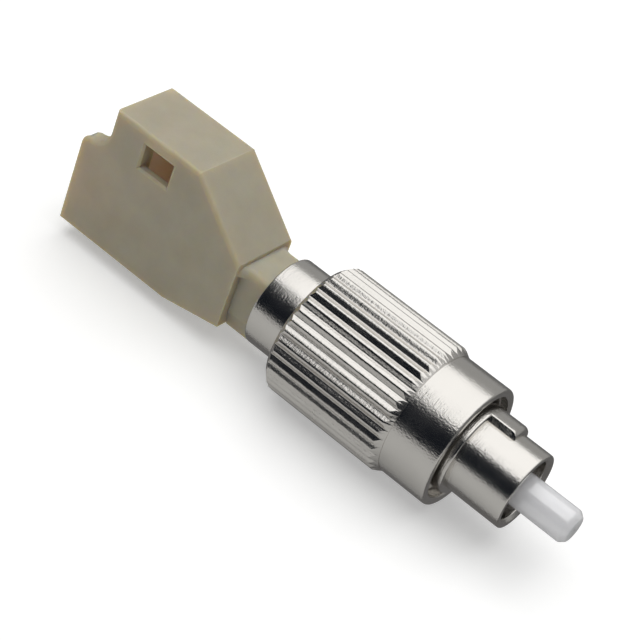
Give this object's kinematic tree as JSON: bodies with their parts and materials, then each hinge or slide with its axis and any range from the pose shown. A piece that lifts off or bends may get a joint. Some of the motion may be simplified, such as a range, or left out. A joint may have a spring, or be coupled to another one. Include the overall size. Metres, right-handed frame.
{
  "type": "hybrid fiber adapter",
  "caption": "Hybrid fibre optic adapter: a keyed 2.5 mm ferrule plug with a knurled coupling nut at one end and a latching 1.25 mm ferrule socket in a moulded housing at the other.",
  "frame": {"origin": "on the fibre axis in the plane of the plug's seating collar face, at mount fc_port", "axes": "+X along the fibre from the socket towards the plug's ferrule tip, +Z towards the socket's latch side, +Y to the left of +X"},
  "size_m": [0.0421, 0.01, 0.0119],
  "materials": {
    "housing_plastic": "fine moulded texture, almond beige",
    "holder_plastic": "plain moulded white",
    "zirconia": "ground and polished white zirconia",
    "nickel_plate": "bright nickel plating on turned brass",
    "fibre_glass": "polished glass",
    "spring_steel": "drawn stainless wire"
  },
  "bodies": {
    "adapter": {"lc_housing": "housing_plastic", "lc_sleeve_holder": "holder_plastic", "lc_sleeve_cap": "holder_plastic", "lc_split_sleeve": "zirconia", "back_barrel": "nickel_plate", "plug_frame": "nickel_plate"},
    "ferrule": {"fc_ferrule": "zirconia", "ferrule_carrier": "nickel_plate", "lc_stub_ferrule": "zirconia", "fibre_stub": "fibre_glass", "ferrule_spring": "spring_steel"},
    "nut_ring": {"nut_retaining_ring": "spring_steel"},
    "nut": {"coupling_nut": "nickel_plate"}
  },
  "joints": [
    {"name": "ferrule_slide", "type": "slide", "parent": "adapter", "child": "ferrule", "axis": [1, 0, 0], "range_m": [-0.001, 0], "stiffness_N_per_m": 900, "deforming": ["ferrule_spring"]},
    {"name": "nut_slide", "type": "slide", "parent": "adapter", "child": "nut_ring", "axis": [1, 0, 0], "range_m": [-0.0007, 0.0031]},
    {"name": "nut_spin", "type": "hinge", "parent": "nut_ring", "child": "nut", "pos_m": [-0.007, 0, 0], "axis": [1, 0, 0], "continuous": true}
  ]
}
